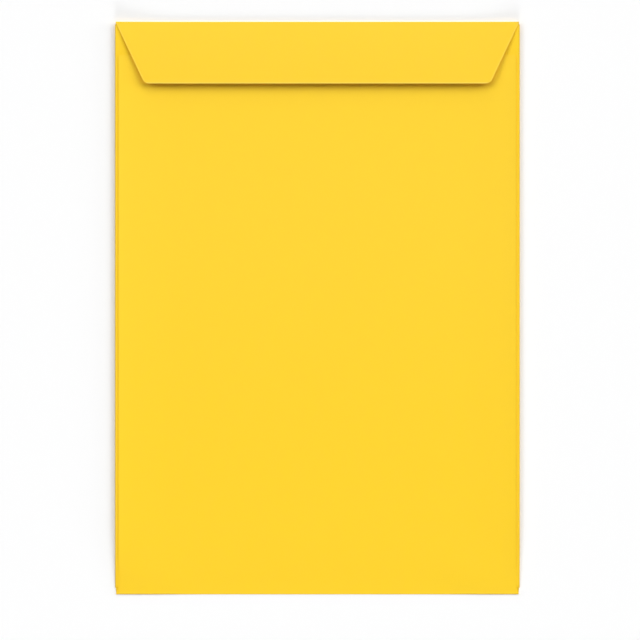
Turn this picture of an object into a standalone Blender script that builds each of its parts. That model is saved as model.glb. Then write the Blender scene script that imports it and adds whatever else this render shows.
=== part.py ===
import math

import bmesh
import bpy
from mathutils import Matrix, Vector

# A C4 pocket envelope, folded from one die-cut sheet. It lies on its address side,
# with X across it, Y toward its closing flap and Z up. The origin is the middle of
# the address side. Sizes are in metres and angles in radians.

WIDTH = 0.229
LENGTH = 0.324
PAPER = 0.00015

# Clear height that a crease keeps between the two layers it joins
SIDE_CREASE_GAP = 0.0005
FLAP_CREASE_GAP = 0.0006
CREASE_STEPS = 8

# Side flaps, folded in over the front panel and glued to the back panel
SIDE_FLAP_DEPTH = 0.016
SIDE_FLAP_TAPER = math.radians(20)
SIDE_FLAP_CORNER = 0.002

# Back panel, folded up from the bottom, a little narrower than the envelope. It widens
# over a short length to meet the bottom fold
BACK_INSET = 0.0020
BOTTOM_FLARE = 0.0014
FLARE_LENGTH = 0.004
THROAT_DROP = 0.0187
THROAT_CORNER = 0.0015

# Small cuts where the panels' corners meet
BOTTOM_CUT = 0.0032
TOP_CUT = 0.0012

# Closing flap, folded over from the top and not stuck down
FLAP_DEPTH = 0.0352
FLAP_SLANT = math.radians(25.3)
FLAP_CORNER = 0.0035
FLAP_OPENING = math.radians(5.5)

# Dried glue of the two side seams, and the bare paper around it
GLUE = 0.00006
SEAM_MARGIN = 0.0015

# Steps along a rounded corner, and the most of an edge that one may take
CORNER_STEPS = 6
CORNER_SHARE = 0.49

# A vertex this close to a crease line lies on it
ON_LINE = 1e-6

SMOOTH_ANGLE = math.radians(30)
YELLOW = (0.93, 0.63, 0.045, 1.0)
ROUGHNESS = 0.6

# Each crease's radius is that of its inner face. The closing flap stops short of half a turn
side_radius = SIDE_CREASE_GAP / 2
back_radius = (PAPER + SIDE_CREASE_GAP + GLUE) / 2
flap_radius = FLAP_CREASE_GAP / 2
flap_turn = math.pi - FLAP_OPENING

# Crease lines, where the flat part of the front panel ends
side_line = WIDTH / 2 - side_radius - PAPER
bottom_line = -LENGTH / 2 + back_radius + PAPER
top_line = LENGTH / 2 - flap_radius - PAPER

side_flap_top = SIDE_CREASE_GAP + 2 * PAPER


def crease_length(radius, turn=math.pi):
    return (radius + PAPER / 2) * turn


def rounded(before, corner, after, radius):
    # Points of the arc that rounds a corner
    back = before - corner
    ahead = after - corner
    half_angle = back.angle(ahead) / 2
    shorter = min(back.length, ahead.length)
    tangent = min(radius / math.tan(half_angle), CORNER_SHARE * shorter)
    inward = (back.normalized() + ahead.normalized()).normalized()
    centre = corner + inward * tangent / math.cos(half_angle)
    first = corner + back.normalized() * tangent - centre
    last = corner + ahead.normalized() * tangent - centre
    # angle_signed is clockwise, and a rotation matrix turns the other way
    sweep = -first.angle_signed(last)
    steps = range(CORNER_STEPS + 1)
    return [centre + Matrix.Rotation(sweep * step / CORNER_STEPS, 2) @ first for step in steps]


def right_outline():
    # Right half of the flat blank's outline, from the back panel's throat to the flap's edge
    back_edge = WIDTH / 2 - BACK_INSET
    back_length = LENGTH - THROAT_DROP - back_radius - PAPER
    fold_end = bottom_line - crease_length(back_radius)
    throat = fold_end - back_length
    throat_corner = Vector((back_edge, throat))
    narrow = Vector((back_edge, fold_end - FLARE_LENGTH))
    wide = back_edge + BOTTOM_FLARE

    flap_root = side_line + crease_length(side_radius)
    flap_tip = flap_root + SIDE_FLAP_DEPTH - side_radius - PAPER
    taper = (flap_tip - flap_root) * math.tan(SIDE_FLAP_TAPER)
    low_root = Vector((flap_root, bottom_line + BOTTOM_CUT))
    high_root = Vector((flap_root, top_line - TOP_CUT))
    low_tip = Vector((flap_tip, low_root.y + taper))
    high_tip = Vector((flap_tip, high_root.y - taper))

    closing_root = Vector((side_line, top_line + crease_length(flap_radius, flap_turn)))
    closing_depth = FLAP_DEPTH - flap_radius - PAPER
    closing_tip = Vector((
        side_line - closing_depth * math.tan(FLAP_SLANT),
        closing_root.y + closing_depth,
    ))
    return [
        *rounded(Vector((0, throat)), throat_corner, narrow, THROAT_CORNER),
        narrow,
        Vector((wide, fold_end)),
        Vector((wide, bottom_line)),
        Vector((side_line, low_root.y)),
        low_root,
        *rounded(low_root, low_tip, high_tip, SIDE_FLAP_CORNER),
        *rounded(low_tip, high_tip, high_root, SIDE_FLAP_CORNER),
        high_root,
        Vector((side_line, high_root.y)),
        Vector((side_line, top_line)),
        closing_root,
        *rounded(closing_root, closing_tip, Vector((0, closing_tip.y)), FLAP_CORNER),
    ]


def flat_blank():
    # The whole sheet lying flat, with the side that ends up outside at Z = 0
    right = right_outline()
    left = [Vector((-point.x, point.y)) for point in reversed(right)]
    blank = bmesh.new()
    corners = [blank.verts.new((*point, 0)) for point in right + left]
    outside = blank.faces.new(corners)
    raised = bmesh.ops.extrude_face_region(blank, geom=[outside], use_keep_orig=True)
    inner_face = [item for item in raised["geom"] if isinstance(item, bmesh.types.BMVert)]
    bmesh.ops.translate(blank, verts=inner_face, vec=(0, 0, PAPER))
    bmesh.ops.recalc_face_normals(blank, faces=blank.faces)
    return blank


def score(blank, line, direction, radius, turn=math.pi):
    # Cuts edges across the sheet wherever a crease will bend it
    for step in range(CREASE_STEPS + 1):
        distance = crease_length(radius, turn) * step / CREASE_STEPS
        bmesh.ops.bisect_plane(
            blank,
            geom=[*blank.verts, *blank.edges, *blank.faces],
            dist=ON_LINE,
            plane_co=direction * (line + distance),
            plane_no=direction,
        )


def bend(distance, height, radius, turn=math.pi):
    # Where a point past a crease ends up: its reach from the crease line and its height
    angle = min(max(distance / (radius + PAPER / 2), 0), turn)
    straight = distance - crease_length(radius, angle)
    from_axis = radius + PAPER - height
    reach = from_axis * math.sin(angle) + straight * math.cos(angle)
    lift = PAPER + radius - from_axis * math.cos(angle) + straight * math.sin(angle)
    return reach, lift


def fold(point):
    x, y, z = point
    if y < bottom_line:
        reach, z = bend(bottom_line - y, z, back_radius)
        y = bottom_line - reach
    elif y > top_line:
        reach, z = bend(y - top_line, z, flap_radius, flap_turn)
        y = top_line + reach
    elif abs(x) > side_line:
        reach, z = bend(abs(x) - side_line, z, side_radius)
        x = math.copysign(side_line + reach, x)
    return Vector((x, y, z))


def folded_sheet():
    sheet = flat_blank()
    right = Vector((1, 0, 0))
    up = Vector((0, 1, 0))
    score(sheet, side_line, right, side_radius)
    score(sheet, side_line, -right, side_radius)
    score(sheet, -bottom_line, -up, back_radius)
    score(sheet, top_line, up, flap_radius, flap_turn)
    for vertex in sheet.verts:
        vertex.co = fold(vertex.co)
    mesh = bpy.data.meshes.new("envelope")
    sheet.to_mesh(mesh)
    sheet.free()
    return mesh


def seam_glue():
    # A strip on each side flap. It starts and ends inside the paper that it joins
    outer = WIDTH / 2 - BACK_INSET - SEAM_MARGIN
    inner = WIDTH / 2 - SIDE_FLAP_DEPTH + SEAM_MARGIN
    taper = SIDE_FLAP_DEPTH * math.tan(SIDE_FLAP_TAPER)
    low = bottom_line + BOTTOM_CUT + taper + SEAM_MARGIN
    high = min(LENGTH / 2 - THROAT_DROP, top_line - TOP_CUT - taper) - SEAM_MARGIN
    size = Matrix.Diagonal((outer - inner, high - low, PAPER + GLUE, 1))
    glue = bmesh.new()
    for side in (1, -1):
        middle = (side * (outer + inner) / 2, (low + high) / 2, side_flap_top + GLUE / 2)
        bmesh.ops.create_cube(glue, size=1, matrix=Matrix.Translation(middle) @ size)
    mesh = bpy.data.meshes.new("seam_glue")
    glue.to_mesh(mesh)
    glue.free()
    return mesh


def yellow_paper():
    material = bpy.data.materials.new("yellow_paper")
    material.use_nodes = True
    surface = material.node_tree.nodes["Principled BSDF"]
    surface.inputs["Base Color"].default_value = YELLOW
    surface.inputs["Roughness"].default_value = ROUGHNESS
    surface.inputs["Metallic"].default_value = 0
    return material


def place(name, mesh):
    piece = bpy.data.objects.new(name, mesh)
    bpy.context.scene.collection.objects.link(piece)
    return piece


for item in list(bpy.data.objects):
    bpy.data.objects.remove(item)

glue = place("seam_glue", seam_glue())
glue.hide_render = True
glue.display_type = "WIRE"

envelope = place("envelope", folded_sheet())
envelope.data.materials.append(yellow_paper())
envelope.data.shade_smooth()
envelope.data.set_sharp_from_angle(angle=SMOOTH_ANGLE)
bond = envelope.modifiers.new("seams", "BOOLEAN")
bond.operation = "UNION"
bond.object = glue
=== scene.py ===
import math

import bmesh
import bpy
from mathutils import Matrix, Vector, noise


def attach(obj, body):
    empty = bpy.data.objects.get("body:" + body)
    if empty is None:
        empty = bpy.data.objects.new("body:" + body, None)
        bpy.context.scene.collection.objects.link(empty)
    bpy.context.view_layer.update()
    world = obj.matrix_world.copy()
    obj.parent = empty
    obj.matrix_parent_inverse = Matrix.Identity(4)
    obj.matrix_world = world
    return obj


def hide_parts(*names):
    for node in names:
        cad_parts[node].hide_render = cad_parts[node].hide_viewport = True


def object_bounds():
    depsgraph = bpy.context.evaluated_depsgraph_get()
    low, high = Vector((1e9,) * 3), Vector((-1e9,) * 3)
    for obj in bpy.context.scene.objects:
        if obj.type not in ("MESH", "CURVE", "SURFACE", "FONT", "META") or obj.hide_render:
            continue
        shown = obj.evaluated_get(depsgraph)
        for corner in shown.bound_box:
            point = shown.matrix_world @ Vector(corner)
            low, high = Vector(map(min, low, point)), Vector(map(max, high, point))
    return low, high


# A C4 pocket envelope, lying on its address side with its closing flap folded over.
# Metres throughout; X across, Y toward the flap's fold, Z up out of the back.

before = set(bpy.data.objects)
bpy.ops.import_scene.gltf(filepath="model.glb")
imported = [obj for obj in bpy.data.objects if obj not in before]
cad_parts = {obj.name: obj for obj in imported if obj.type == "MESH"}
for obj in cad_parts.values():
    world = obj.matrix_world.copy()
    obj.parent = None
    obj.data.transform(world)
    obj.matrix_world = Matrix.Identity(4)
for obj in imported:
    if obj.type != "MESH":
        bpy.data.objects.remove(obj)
cadLow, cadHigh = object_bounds()
envelopeWidth = cadHigh.x - cadLow.x
envelopeLength = cadHigh.y - cadLow.y
print("frame loaded:", len(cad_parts), "node", round(envelopeWidth, 4), "by", round(envelopeLength, 4))


# The folded sheet

sheet = {
    "thickness": 0.00015,
    "sideCreaseGap": 0.0005,
    "flapCreaseGap": 0.0006,
    "glue": 0.00006,
    "sideFlapDepth": 0.016,
    "sideFlapTaper": math.radians(20),
    "sideFlapCorner": 0.002,
    "backInset": 0.0020,
    "bottomFlare": 0.0014,
    "flareLength": 0.004,
    "throatDrop": 0.0187,
    "throatCorner": 0.0015,
    "bottomCut": 0.0032,
    "topCut": 0.0012,
    "flapDepth": 0.0352,
    "flapSlant": math.radians(25.3),
    "flapCorner": 0.0035,
    "flapOpening": math.radians(5.2),
    "creaseSteps": 16,
    "cornerSteps": 10,
    "gridStep": 0.004,
    "stiffNear": 0.006,      # this near a crease the panels stay straight
    "looseFrom": 0.026,      # and this far from it they bend fully
    "flapLooseFrom": 0.02,
    "flapBow": 0.0003,       # how far the closing flap bows up between its crease and its edge
    "backSag": 0.00012,      # how far the back panel settles between the side flaps
    "sagShoulder": 0.009,
    "edgeCurl": 0.00022,     # how far the back panel's long cut edges stand off the side flaps
    "curlWidth": 0.0017,
    "bottomPress": 0.95,     # how much of the bottom fold's gap is pressed out in its middle
    "pressEnd": 0.095,       # this far from the middle the pressing ends
    "pressFull": 0.06,
    "pressReach": 0.03,      # and this far up from the fold
    "endSqueeze": 0.85,      # how much of the side folds' gap closes at their bottom ends
    "endReach": 0.014,
    "riseLeft": 0.0015,      # how far the long folds spring up off the table
    "riseRight": 0.0011,
    "riseReach": 0.035,
    "riseEnd": 0.045,        # the bottom fold holds them down over this length
    "riseLoss": 0.75,        # how much less the closing flap's free edge rises
    "waves": 0.00008,        # height of the slow waves in the paper
    "waveSize": 0.09,
    # each panel's steady share of that height, its waving share and its seed
    "frontWave": (0.6, 0.6, 1.3),
    "backWave": (0.5, 1.0, 3.1),
    "flapWave": (0.4, 0.5, 7.7),
}

onLine = 1e-6                # a vertex this close to a line lies on it
cutEdgeTilt = 0.5            # the blank's cut edges have normals that rise less than this

# inner radii of the creases, then the crease lines on the flat blank
paper = sheet["thickness"]
sideRadius = sheet["sideCreaseGap"] / 2
backRadius = (paper + sheet["sideCreaseGap"] + sheet["glue"]) / 2
flapRadius = sheet["flapCreaseGap"] / 2
flapTurn = math.pi - sheet["flapOpening"]


def creaseLength(radius, turn=math.pi):
    return (radius + paper / 2) * turn


sideLine = envelopeWidth / 2 - sideRadius - paper
bottomLine = -envelopeLength / 2 + backRadius + paper
topLine = envelopeLength / 2 - flapRadius - paper
backEdge = envelopeWidth / 2 - sheet["backInset"]
foldEnd = bottomLine - creaseLength(backRadius)
throat = foldEnd - (envelopeLength - sheet["throatDrop"] - backRadius - paper)
sideFlapRoot = sideLine + creaseLength(sideRadius)
sideFlapTip = sideFlapRoot + sheet["sideFlapDepth"] - sideRadius - paper
closingRoot = topLine + creaseLength(flapRadius, flapTurn)
closingDepth = sheet["flapDepth"] - flapRadius - paper
closingTip = closingRoot + closingDepth
closingHalf = sideLine - closingDepth * math.tan(sheet["flapSlant"])


def roundOff(blank, corners, radius, interior):
    # bevel takes the distance along the edges, which is the arc's tangent length
    bmesh.ops.bevel(
        blank,
        geom=corners,
        offset=radius / math.tan(interior / 2),
        offset_type="OFFSET",
        affect="VERTICES",
        segments=sheet["cornerSteps"],
        profile=0.5,
        material=-1,
    )


def cutBlank():
    # right half of the die-cut blank, rounded at its corners, then mirrored
    blank = bmesh.new()
    taper = (sideFlapTip - sideFlapRoot) * math.tan(sheet["sideFlapTaper"])
    low = bottomLine + sheet["bottomCut"]
    high = topLine - sheet["topCut"]
    throatPoint = blank.verts.new((backEdge, throat, 0))
    lowTip = blank.verts.new((sideFlapTip, low + taper, 0))
    highTip = blank.verts.new((sideFlapTip, high - taper, 0))
    flapPoint = blank.verts.new((closingHalf, closingTip, 0))
    corners = [
        blank.verts.new((0, throat, 0)),
        throatPoint,
        blank.verts.new((backEdge, foldEnd - sheet["flareLength"], 0)),
        blank.verts.new((backEdge + sheet["bottomFlare"], foldEnd, 0)),
        blank.verts.new((backEdge + sheet["bottomFlare"], bottomLine, 0)),
        blank.verts.new((sideLine, low, 0)),
        blank.verts.new((sideFlapRoot, low, 0)),
        lowTip,
        highTip,
        blank.verts.new((sideFlapRoot, high, 0)),
        blank.verts.new((sideLine, high, 0)),
        blank.verts.new((sideLine, topLine, 0)),
        blank.verts.new((sideLine, closingRoot, 0)),
        flapPoint,
        blank.verts.new((0, closingTip, 0)),
    ]
    blank.faces.new(corners)
    rightAngle = math.pi / 2
    roundOff(blank, [throatPoint], sheet["throatCorner"], rightAngle)
    roundOff(blank, [lowTip, highTip], sheet["sideFlapCorner"], rightAngle + sheet["sideFlapTaper"])
    roundOff(blank, [flapPoint], sheet["flapCorner"], rightAngle + sheet["flapSlant"])
    whole = [*blank.verts, *blank.edges, *blank.faces]
    bmesh.ops.mirror(blank, geom=whole, matrix=Matrix.Identity(4), merge_dist=onLine, axis="X")
    return blank


def cutAcross(blank, place, direction):
    bmesh.ops.bisect_plane(
        blank,
        geom=[*blank.verts, *blank.edges, *blank.faces],
        dist=onLine,
        plane_co=direction * place,
        plane_no=direction,
    )


def cutGrid(blank):
    # an even grid of edges for the small bends, then close ones where a crease will bend
    right = Vector((1, 0, 0))
    up = Vector((0, 1, 0))
    step = sheet["gridStep"]
    for count in range(1, int(sideFlapTip / step) + 1):
        cutAcross(blank, count * step, right)
        cutAcross(blank, -count * step, right)
    rows = int((closingTip - throat) / step)
    for count in range(1, rows + 1):
        cutAcross(blank, throat + count * step, up)
    steps = sheet["creaseSteps"]
    for count in range(steps + 1):
        share = count / steps
        side = sideLine + creaseLength(sideRadius) * share
        cutAcross(blank, side, right)
        cutAcross(blank, -side, right)
        cutAcross(blank, bottomLine - creaseLength(backRadius) * share, up)
        cutAcross(blank, topLine + creaseLength(flapRadius, flapTurn) * share, up)


def ease(value, start, end):
    share = min(max((value - start) / (end - start), 0), 1)
    return share * share * (3 - 2 * share)


def slowWave(x, y, panel):
    steady, waving, seed = sheet[panel]
    size = sheet["waveSize"]
    return sheet["waves"] * (steady + waving * noise.noise(Vector((x / size, y / size, seed))))


def settleBack(x, y):
    edge = envelopeWidth / 2
    inner = edge - (sideFlapTip - sideFlapRoot)
    sag = sheet["backSag"] * (1 - ease(abs(x), inner - sheet["sagShoulder"], inner))
    wave = slowWave(x, y, "backWave") * (1 - ease(abs(x), 0, edge))
    curl = sheet["edgeCurl"] * ease(abs(x), backEdge - sheet["curlWidth"], backEdge)
    start = creaseLength(backRadius) + sheet["stiffNear"]
    return (sag + wave - curl) * ease(bottomLine - y, start, sheet["looseFrom"])


def settleFlap(x, y):
    # the bow is a parabola, highest halfway along the flap
    along = max(y - closingRoot, 0) / closingDepth
    nearFold = ease(y - closingRoot, sheet["stiffNear"], sheet["flapLooseFrom"])
    return slowWave(x, y, "flapWave") * nearFold - sheet["flapBow"] * 4 * along * (1 - along)


def settleFront(x, y):
    nearSide = ease(sideLine - abs(x), sheet["stiffNear"], sheet["looseFrom"])
    nearEnd = ease(min(y - bottomLine, topLine - y), sheet["stiffNear"], sheet["looseFrom"])
    return slowWave(x, y, "frontWave") * nearSide * nearEnd


def settle(x, y):
    # how far a point of the sheet moves toward the pocket, besides the folding
    if y < bottomLine:
        return settleBack(x, y)
    if y > topLine:
        return settleFlap(x, y)
    if abs(x) < sideLine:
        return settleFront(x, y)
    return 0


def bend(distance, height, radius, turn=math.pi):
    # where a point past a crease ends up: its reach from the crease line and its height
    angle = min(max(distance / (radius + paper / 2), 0), turn)
    straight = distance - creaseLength(radius, angle)
    fromAxis = radius + paper - height
    reach = fromAxis * math.sin(angle) + straight * math.cos(angle)
    lift = paper + radius - fromAxis * math.cos(angle) + straight * math.sin(angle)
    return reach, lift


def press(x, reach, z):
    # the bottom fold is pressed flatter between the side flaps
    across = ease(abs(x), sheet["pressEnd"], sheet["pressFull"])
    share = sheet["bottomPress"] * across * ease(reach, -sheet["pressReach"], 0)
    return z - min(max(z - paper, 0), 2 * backRadius) * share


def squeeze(y, z):
    # all layers lie a little closer at the bottom end
    share = sheet["endSqueeze"] * ease(y + envelopeLength / 2, sheet["endReach"], 0)
    return z - min(max(z - paper, 0), sheet["sideCreaseGap"]) * share


def rise(x, y, along):
    # the long folds stand a little off the table, less so toward the flap's free edge
    most = sheet["riseLeft"] if x < 0 else sheet["riseRight"]
    share = max(abs(x) - envelopeWidth / 2 + sheet["riseReach"], 0) / sheet["riseReach"]
    free = ease(y + envelopeLength / 2, 0, sheet["riseEnd"])
    return most * share * share * free * (1 - sheet["riseLoss"] * along)


def fold(point):
    x, y, z = point
    z += settle(x, y)
    along = min(max(y - closingRoot, 0) / closingDepth, 1)
    if y < bottomLine:
        reach, z = bend(bottomLine - y, z, backRadius)
        z = press(x, reach, z)
        y = bottomLine - reach
    elif y > topLine:
        reach, z = bend(y - topLine, z, flapRadius, flapTurn)
        y = topLine + reach
    elif abs(x) > sideLine:
        reach, z = bend(abs(x) - sideLine, z, sideRadius)
        x = math.copysign(sideLine + reach, x)
    return Vector((x, y, squeeze(y, z) + rise(x, y, along)))


def makeSheet():
    blank = cutBlank()
    cutGrid(blank)
    flat = blank.faces[:]
    raised = bmesh.ops.extrude_face_region(blank, geom=flat, use_keep_orig=True)
    inner = [item for item in raised["geom"] if isinstance(item, bmesh.types.BMVert)]
    bmesh.ops.translate(blank, verts=inner, vec=(0, 0, paper))
    bmesh.ops.recalc_face_normals(blank, faces=blank.faces)
    # the flat blank's own coordinates carry the paper's grain round the folds
    flatMap = blank.loops.layers.uv.new("flatMap")
    cutEdge = blank.faces.layers.float.new("cutEdge")
    for face in blank.faces:
        face.smooth = abs(face.normal.z) > cutEdgeTilt
        face[cutEdge] = 0.0 if face.smooth else 1.0
        for loop in face.loops:
            loop[flatMap].uv = loop.vert.co.xy
    for edge in blank.edges:
        edge.smooth = edge.link_faces[0].smooth and edge.link_faces[1].smooth
    for vertex in blank.verts:
        vertex.co = fold(vertex.co)
    mesh = bpy.data.meshes.new("foldedSheet")
    blank.to_mesh(mesh)
    blank.free()
    piece = bpy.data.objects.new("foldedSheet", mesh)
    bpy.context.scene.collection.objects.link(piece)
    return piece


foldedSheet = makeSheet()
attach(foldedSheet, "root")
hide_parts("envelope")
print("sheet folded:", len(foldedSheet.data.polygons), "faces")


# Shader sums, written as plain Python

class Value:
    def __init__(self, tree, socket=None):
        self.tree = tree
        self.socket = socket

    def node(self, kind, settings, inputs, output=0):
        made = self.tree.nodes.new(kind)
        for name, setting in settings.items():
            setattr(made, name, setting)
        for name, given in inputs.items():
            if isinstance(given, Value):
                self.tree.links.new(given.socket, made.inputs[name])
            else:
                made.inputs[name].default_value = given
        return Value(self.tree, made.outputs[output] if made.outputs else None)

    def output(self, name):
        # another output of the node that this value comes from
        return Value(self.tree, self.socket.node.outputs[name])

    def maths(self, operation, *given):
        return self.node("ShaderNodeMath", {"operation": operation}, dict(enumerate(given)))

    def highest(self, first, *others):
        top = first
        for other in others:
            top = self.maths("MAXIMUM", top, other)
        return top

    def __add__(self, other):
        return self.maths("ADD", self, other)

    def __sub__(self, other):
        return self.maths("SUBTRACT", self, other)

    def __rsub__(self, other):
        return self.maths("SUBTRACT", other, self)

    def __mul__(self, other):
        return self.maths("MULTIPLY", self, other)

    __radd__ = __add__
    __rmul__ = __mul__

    def ease(self, start, end, low=0.0, high=1.0):
        return self.node(
            "ShaderNodeMapRange",
            {"interpolation_type": "SMOOTHSTEP"},
            {"Value": self, "From Min": start, "From Max": end, "To Min": low, "To Max": high},
        )

    def blend(self, first, second):
        # this value mixes two colours; sockets 6 and 7 take them and output 2 gives the mix
        return self.node("ShaderNodeMix", {"data_type": "RGBA"}, {"Factor": self, 6: first, 7: second}, 2)


def emptyMaterial(name):
    material = bpy.data.materials.new(name)
    material.use_nodes = True
    material.node_tree.nodes.clear()
    return material, Value(material.node_tree)


# The paper: through-dyed yellow, smooth, with a fine tooth and faint fibres

paperLook = {
    "dye": (0.985, 0.646, 0.0285, 1),
    "lowShade": (0.985, 0.641, 0.019, 1),    # painted shade: a little darker from the back panel's bottom part on, where the light falls off
    "lowFrom": 0.25,                       # it starts this far up the back panel from its fold
    "lowFull": 0.05,
    "deepDyeAndShade": (0.95, 0.600, 0.0365, 1),
    "cloudDepth": 0.1,                     # how much of the deeper colour each of these has: uneven dye in the clouds and fibres, painted shade on the closing flap
    "fibreDepth": 0.15,
    "flapDepth": 0.5,
    "foldShade": (0.74, 0.47, 0.02, 1),      # painted shade on the folds, where they turn away from the light
    "sideFoldShade": 0.9,
    "topFoldShade": 0.5,
    "coreAndHighlight": (1.0, 0.76, 0.12, 1),          # paler, where a cut or a crease opens the paper, and as a painted highlight along the closing flap's edges
    "creaseOpening": 0.02,                 # how far a crease opens it, and how far its tooth adds to that
    "creaseToothOpening": 0.08,
    "creaseFade": 0.0004,
    "highlightRim": 0.001,
    "slantHighlightStrength": 0.4,                    # painted highlight: how far the flap's top face is paled along its edges, over that width
    "tipHighlightStrength": 0.85,
    "roughness": (0.58, 0.68),
    "specular": 0.25,
    "grainRoughness": 0.55,
    "grainRange": (0.3, 0.7),              # the noise that the clouds and the tooth run between
    "cloudSize": 0.007,
    "cloudDetail": 4,
    "toothSize": 0.00022,
    "toothDetail": 3,
    "fibreLength": 0.0016,
    "fibreWidth": 0.00007,
    "fibreDetail": 1,
    # each run of fibres: its turn in radians, and the noise that it sets in and is full at
    "fibreRuns": ((0.5, 0.62, 0.72), (-0.35, 0.62, 0.72), (1.4, 0.63, 0.73)),
    "toothHeight": 0.000018,
    "fibreRelief": 0.5,                    # heights beside the tooth's
    "cloudRelief": 0.4,
    "creaseRelief": 1.5,
}


def paperMaterial():
    look = paperLook
    material, shade = emptyMaterial("yellowPaper")
    uv = shade.node("ShaderNodeUVMap", {"uv_map": "flatMap"}, {})
    split = shade.node("ShaderNodeSeparateXYZ", {}, {"Vector": uv})
    y = split.output("Y")
    fromMiddle = shade.maths("ABSOLUTE", split.output("X"))

    def grain(size, detail, stretch=1.0, turn=0.0):
        mapped = shade.node(
            "ShaderNodeMapping",
            {},
            {"Vector": uv, "Rotation": (0, 0, turn), "Scale": (1 / size, stretch / size, 1)},
        )
        return shade.node(
            "ShaderNodeTexNoise",
            {"noise_dimensions": "2D"},
            {"Vector": mapped, "Scale": 1.0, "Detail": detail, "Roughness": look["grainRoughness"]},
        )

    clouds = grain(look["cloudSize"], look["cloudDetail"])
    tooth = grain(look["toothSize"], look["toothDetail"])
    thin = look["fibreLength"] / look["fibreWidth"]
    fibres = shade.highest(*[
        grain(look["fibreLength"], look["fibreDetail"], thin, turn).ease(start, full)
        for turn, start, full in look["fibreRuns"]
    ])

    # how near a point of the blank is to a crease's bend
    fade = look["creaseFade"]

    def between(place, start, end):
        return place.ease(start - fade, start) * place.ease(end, end + fade, 1.0, 0.0)

    sideCrease = between(fromMiddle, sideLine, sideFlapRoot)
    bottomCrease = between(y, foldEnd, bottomLine)
    topCrease = between(y, topLine, closingRoot)
    crease = shade.highest(sideCrease, bottomCrease, topCrease)

    # and to the closing flap's free edges
    slant = sheet["flapSlant"]
    fromSlant = (sideLine - fromMiddle) * math.cos(slant) - (y - closingRoot) * math.sin(slant)
    fromTip = closingTip - y
    onFlap = y.ease(closingRoot, closingRoot + fade)
    # painted highlight along the closing flap's free edges
    slantHighlight = fromSlant.ease(0.0, look["highlightRim"], look["slantHighlightStrength"], 0.0)
    tipHighlight = fromTip.ease(0.0, look["highlightRim"], look["tipHighlightStrength"], 0.0)
    highlightRim = onFlap * shade.highest(slantHighlight, tipHighlight)
    cut = shade.node("ShaderNodeAttribute", {"attribute_name": "cutEdge"}, {}, "Fac")
    creaseOpened = crease * (look["creaseOpening"] + look["creaseToothOpening"] * tooth)
    openedAndHighlighted = shade.highest(cut, creaseOpened, highlightRim)

    grainLow, grainHigh = look["grainRange"]
    clouded = clouds.ease(grainLow, grainHigh) * look["cloudDepth"]
    # the closing flap's share is painted shade, against the light that its tilt catches
    deepAndShaded = clouded + fibres * look["fibreDepth"] + onFlap * look["flapDepth"]
    # painted shade: the back panel darkens toward its bottom fold
    lower = y.ease(foldEnd - look["lowFrom"], foldEnd - look["lowFull"])
    # the back panel's bottom and the closing flap carry painted shade here, besides the dye's clouds and
    # fibres
    dyed = deepAndShaded.blend(lower.blend(look["dye"], look["lowShade"]), look["deepDyeAndShade"])
    # painted shade on the side and top folds
    foldShading = sideCrease * look["sideFoldShade"] + topCrease * look["topFoldShade"]
    colour = openedAndHighlighted.blend(foldShading.blend(dyed, look["foldShade"]), look["coreAndHighlight"])
    relief = tooth + fibres * look["fibreRelief"] + clouds * look["cloudRelief"]
    bumped = shade.node(
        "ShaderNodeBump",
        {},
        {
            "Height": relief + crease * tooth * look["creaseRelief"],
            "Distance": look["toothHeight"],
            "Strength": 1.0,
        },
    )
    surface = shade.node(
        "ShaderNodeBsdfPrincipled",
        {},
        {
            "Base Color": colour,
            "Roughness": tooth.ease(grainLow, grainHigh, *look["roughness"]),
            "Specular IOR Level": look["specular"],
            "Normal": bumped,
        },
    )
    shade.node("ShaderNodeOutputMaterial", {}, {"Surface": surface})
    return material


foldedSheet.data.materials.append(paperMaterial())
print("paper dyed")


# Table, light and camera

studio = {
    "tableSize": 8.0,
    "tableCells": 4,
    "tableDrop": 0.00002,
    "tableColour": (0.966, 0.966, 0.966, 1),
    "tableRoughness": 0.9,
    "skyLight": 0.10,          # the sky's share of the light
    # each lamp's bearing from +Y toward +X, its height, its spread and its share of white
    "lamps": {
        "top": (4, 29, 46, 0.29),
        "right": (58, 30, 33, 0.255),
        "left": (-60, 33, 29, 0.245),
        "lowRight": (84, 9, 12, 0.03),
        "bottom": (178, 11, 14, 0.11),
    },
    "cameraHeight": 3.0,
    "cameraReach": (0.1, 20),  # it sees what lies between these distances
    "photoWidth": 0.3623,      # width of the table that the photograph spans
    "photoCentre": (0.00147, -0.0068),
    "sensor": 36.0,
}


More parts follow.
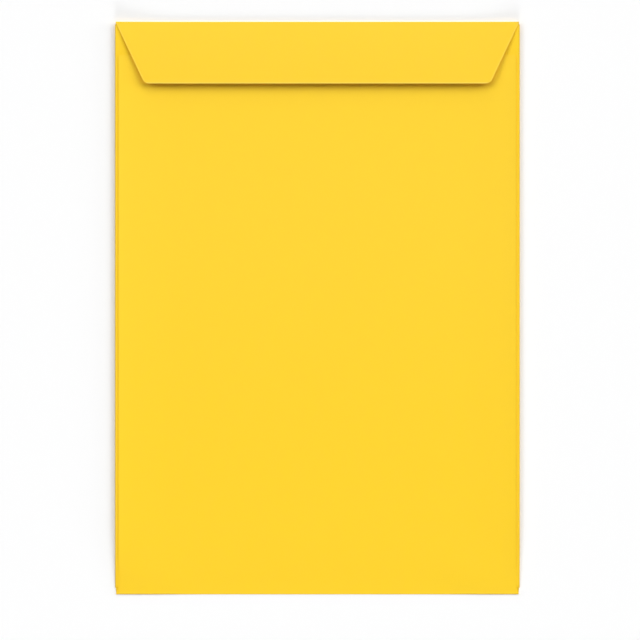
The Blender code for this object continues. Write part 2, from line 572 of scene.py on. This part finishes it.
def makeTable():
    table = bmesh.new()
    cells = studio["tableCells"]
    bmesh.ops.create_grid(table, x_segments=cells, y_segments=cells, size=studio["tableSize"] / 2)
    bmesh.ops.translate(table, verts=table.verts, vec=(0, 0, -studio["tableDrop"]))
    mesh = bpy.data.meshes.new("table")
    table.to_mesh(mesh)
    table.free()
    piece = bpy.data.objects.new("table", mesh)
    bpy.context.scene.collection.objects.link(piece)
    material, shade = emptyMaterial("paleTable")
    matte = shade.node(
        "ShaderNodeBsdfPrincipled",
        {},
        {
            "Base Color": studio["tableColour"],
            "Roughness": studio["tableRoughness"],
            "Specular IOR Level": 0.0,
        },
    )
    shade.node("ShaderNodeOutputMaterial", {}, {"Surface": matte})
    piece.data.materials.append(material)
    return piece


def makeLamps():
    for name, (bearing, height, spread, share) in studio["lamps"].items():
        lamp = bpy.data.lights.new(name, "SUN")
        lamp.angle = math.radians(spread)
        # the strength that lights a white sheet on the table to this share of white
        lamp.energy = share * math.pi / math.sin(math.radians(height))
        light = bpy.data.objects.new(name, lamp)
        tilt = math.radians(90 - height)
        light.rotation_euler = (-tilt, 0, math.radians(-bearing))
        bpy.context.scene.collection.objects.link(light)


def makeSky():
    # the camera, reflections and clear things see a white sky, which lights the rest less
    world = bpy.data.worlds.new("studio")
    world.use_nodes = True
    world.node_tree.nodes.clear()
    shade = Value(world.node_tree)
    path = shade.node("ShaderNodeLightPath", {}, {}, "Is Camera Ray")
    reflected = path.output("Is Glossy Ray")
    through = path.output("Is Transmission Ray")
    seen = shade.maths("MINIMUM", path + reflected + through, 1.0)
    strength = seen * (1 - studio["skyLight"]) + studio["skyLight"]
    sky = shade.node("ShaderNodeBackground", {}, {"Color": (1, 1, 1, 1), "Strength": strength})
    shade.node("ShaderNodeOutputWorld", {}, {"Surface": sky})
    bpy.context.scene.world = world


def makeCamera():
    lens = bpy.data.cameras.new("camera")
    lens.sensor_width = studio["sensor"]
    lens.lens = studio["sensor"] * studio["cameraHeight"] / studio["photoWidth"]
    lens.clip_start, lens.clip_end = studio["cameraReach"]
    camera = bpy.data.objects.new("camera", lens)
    camera.location = (*studio["photoCentre"], studio["cameraHeight"])
    bpy.context.scene.collection.objects.link(camera)
    bpy.context.scene.camera = camera


makeTable()
makeLamps()
makeSky()
makeCamera()
bpy.context.scene.view_settings.view_transform = "Standard"
print("studio lit")
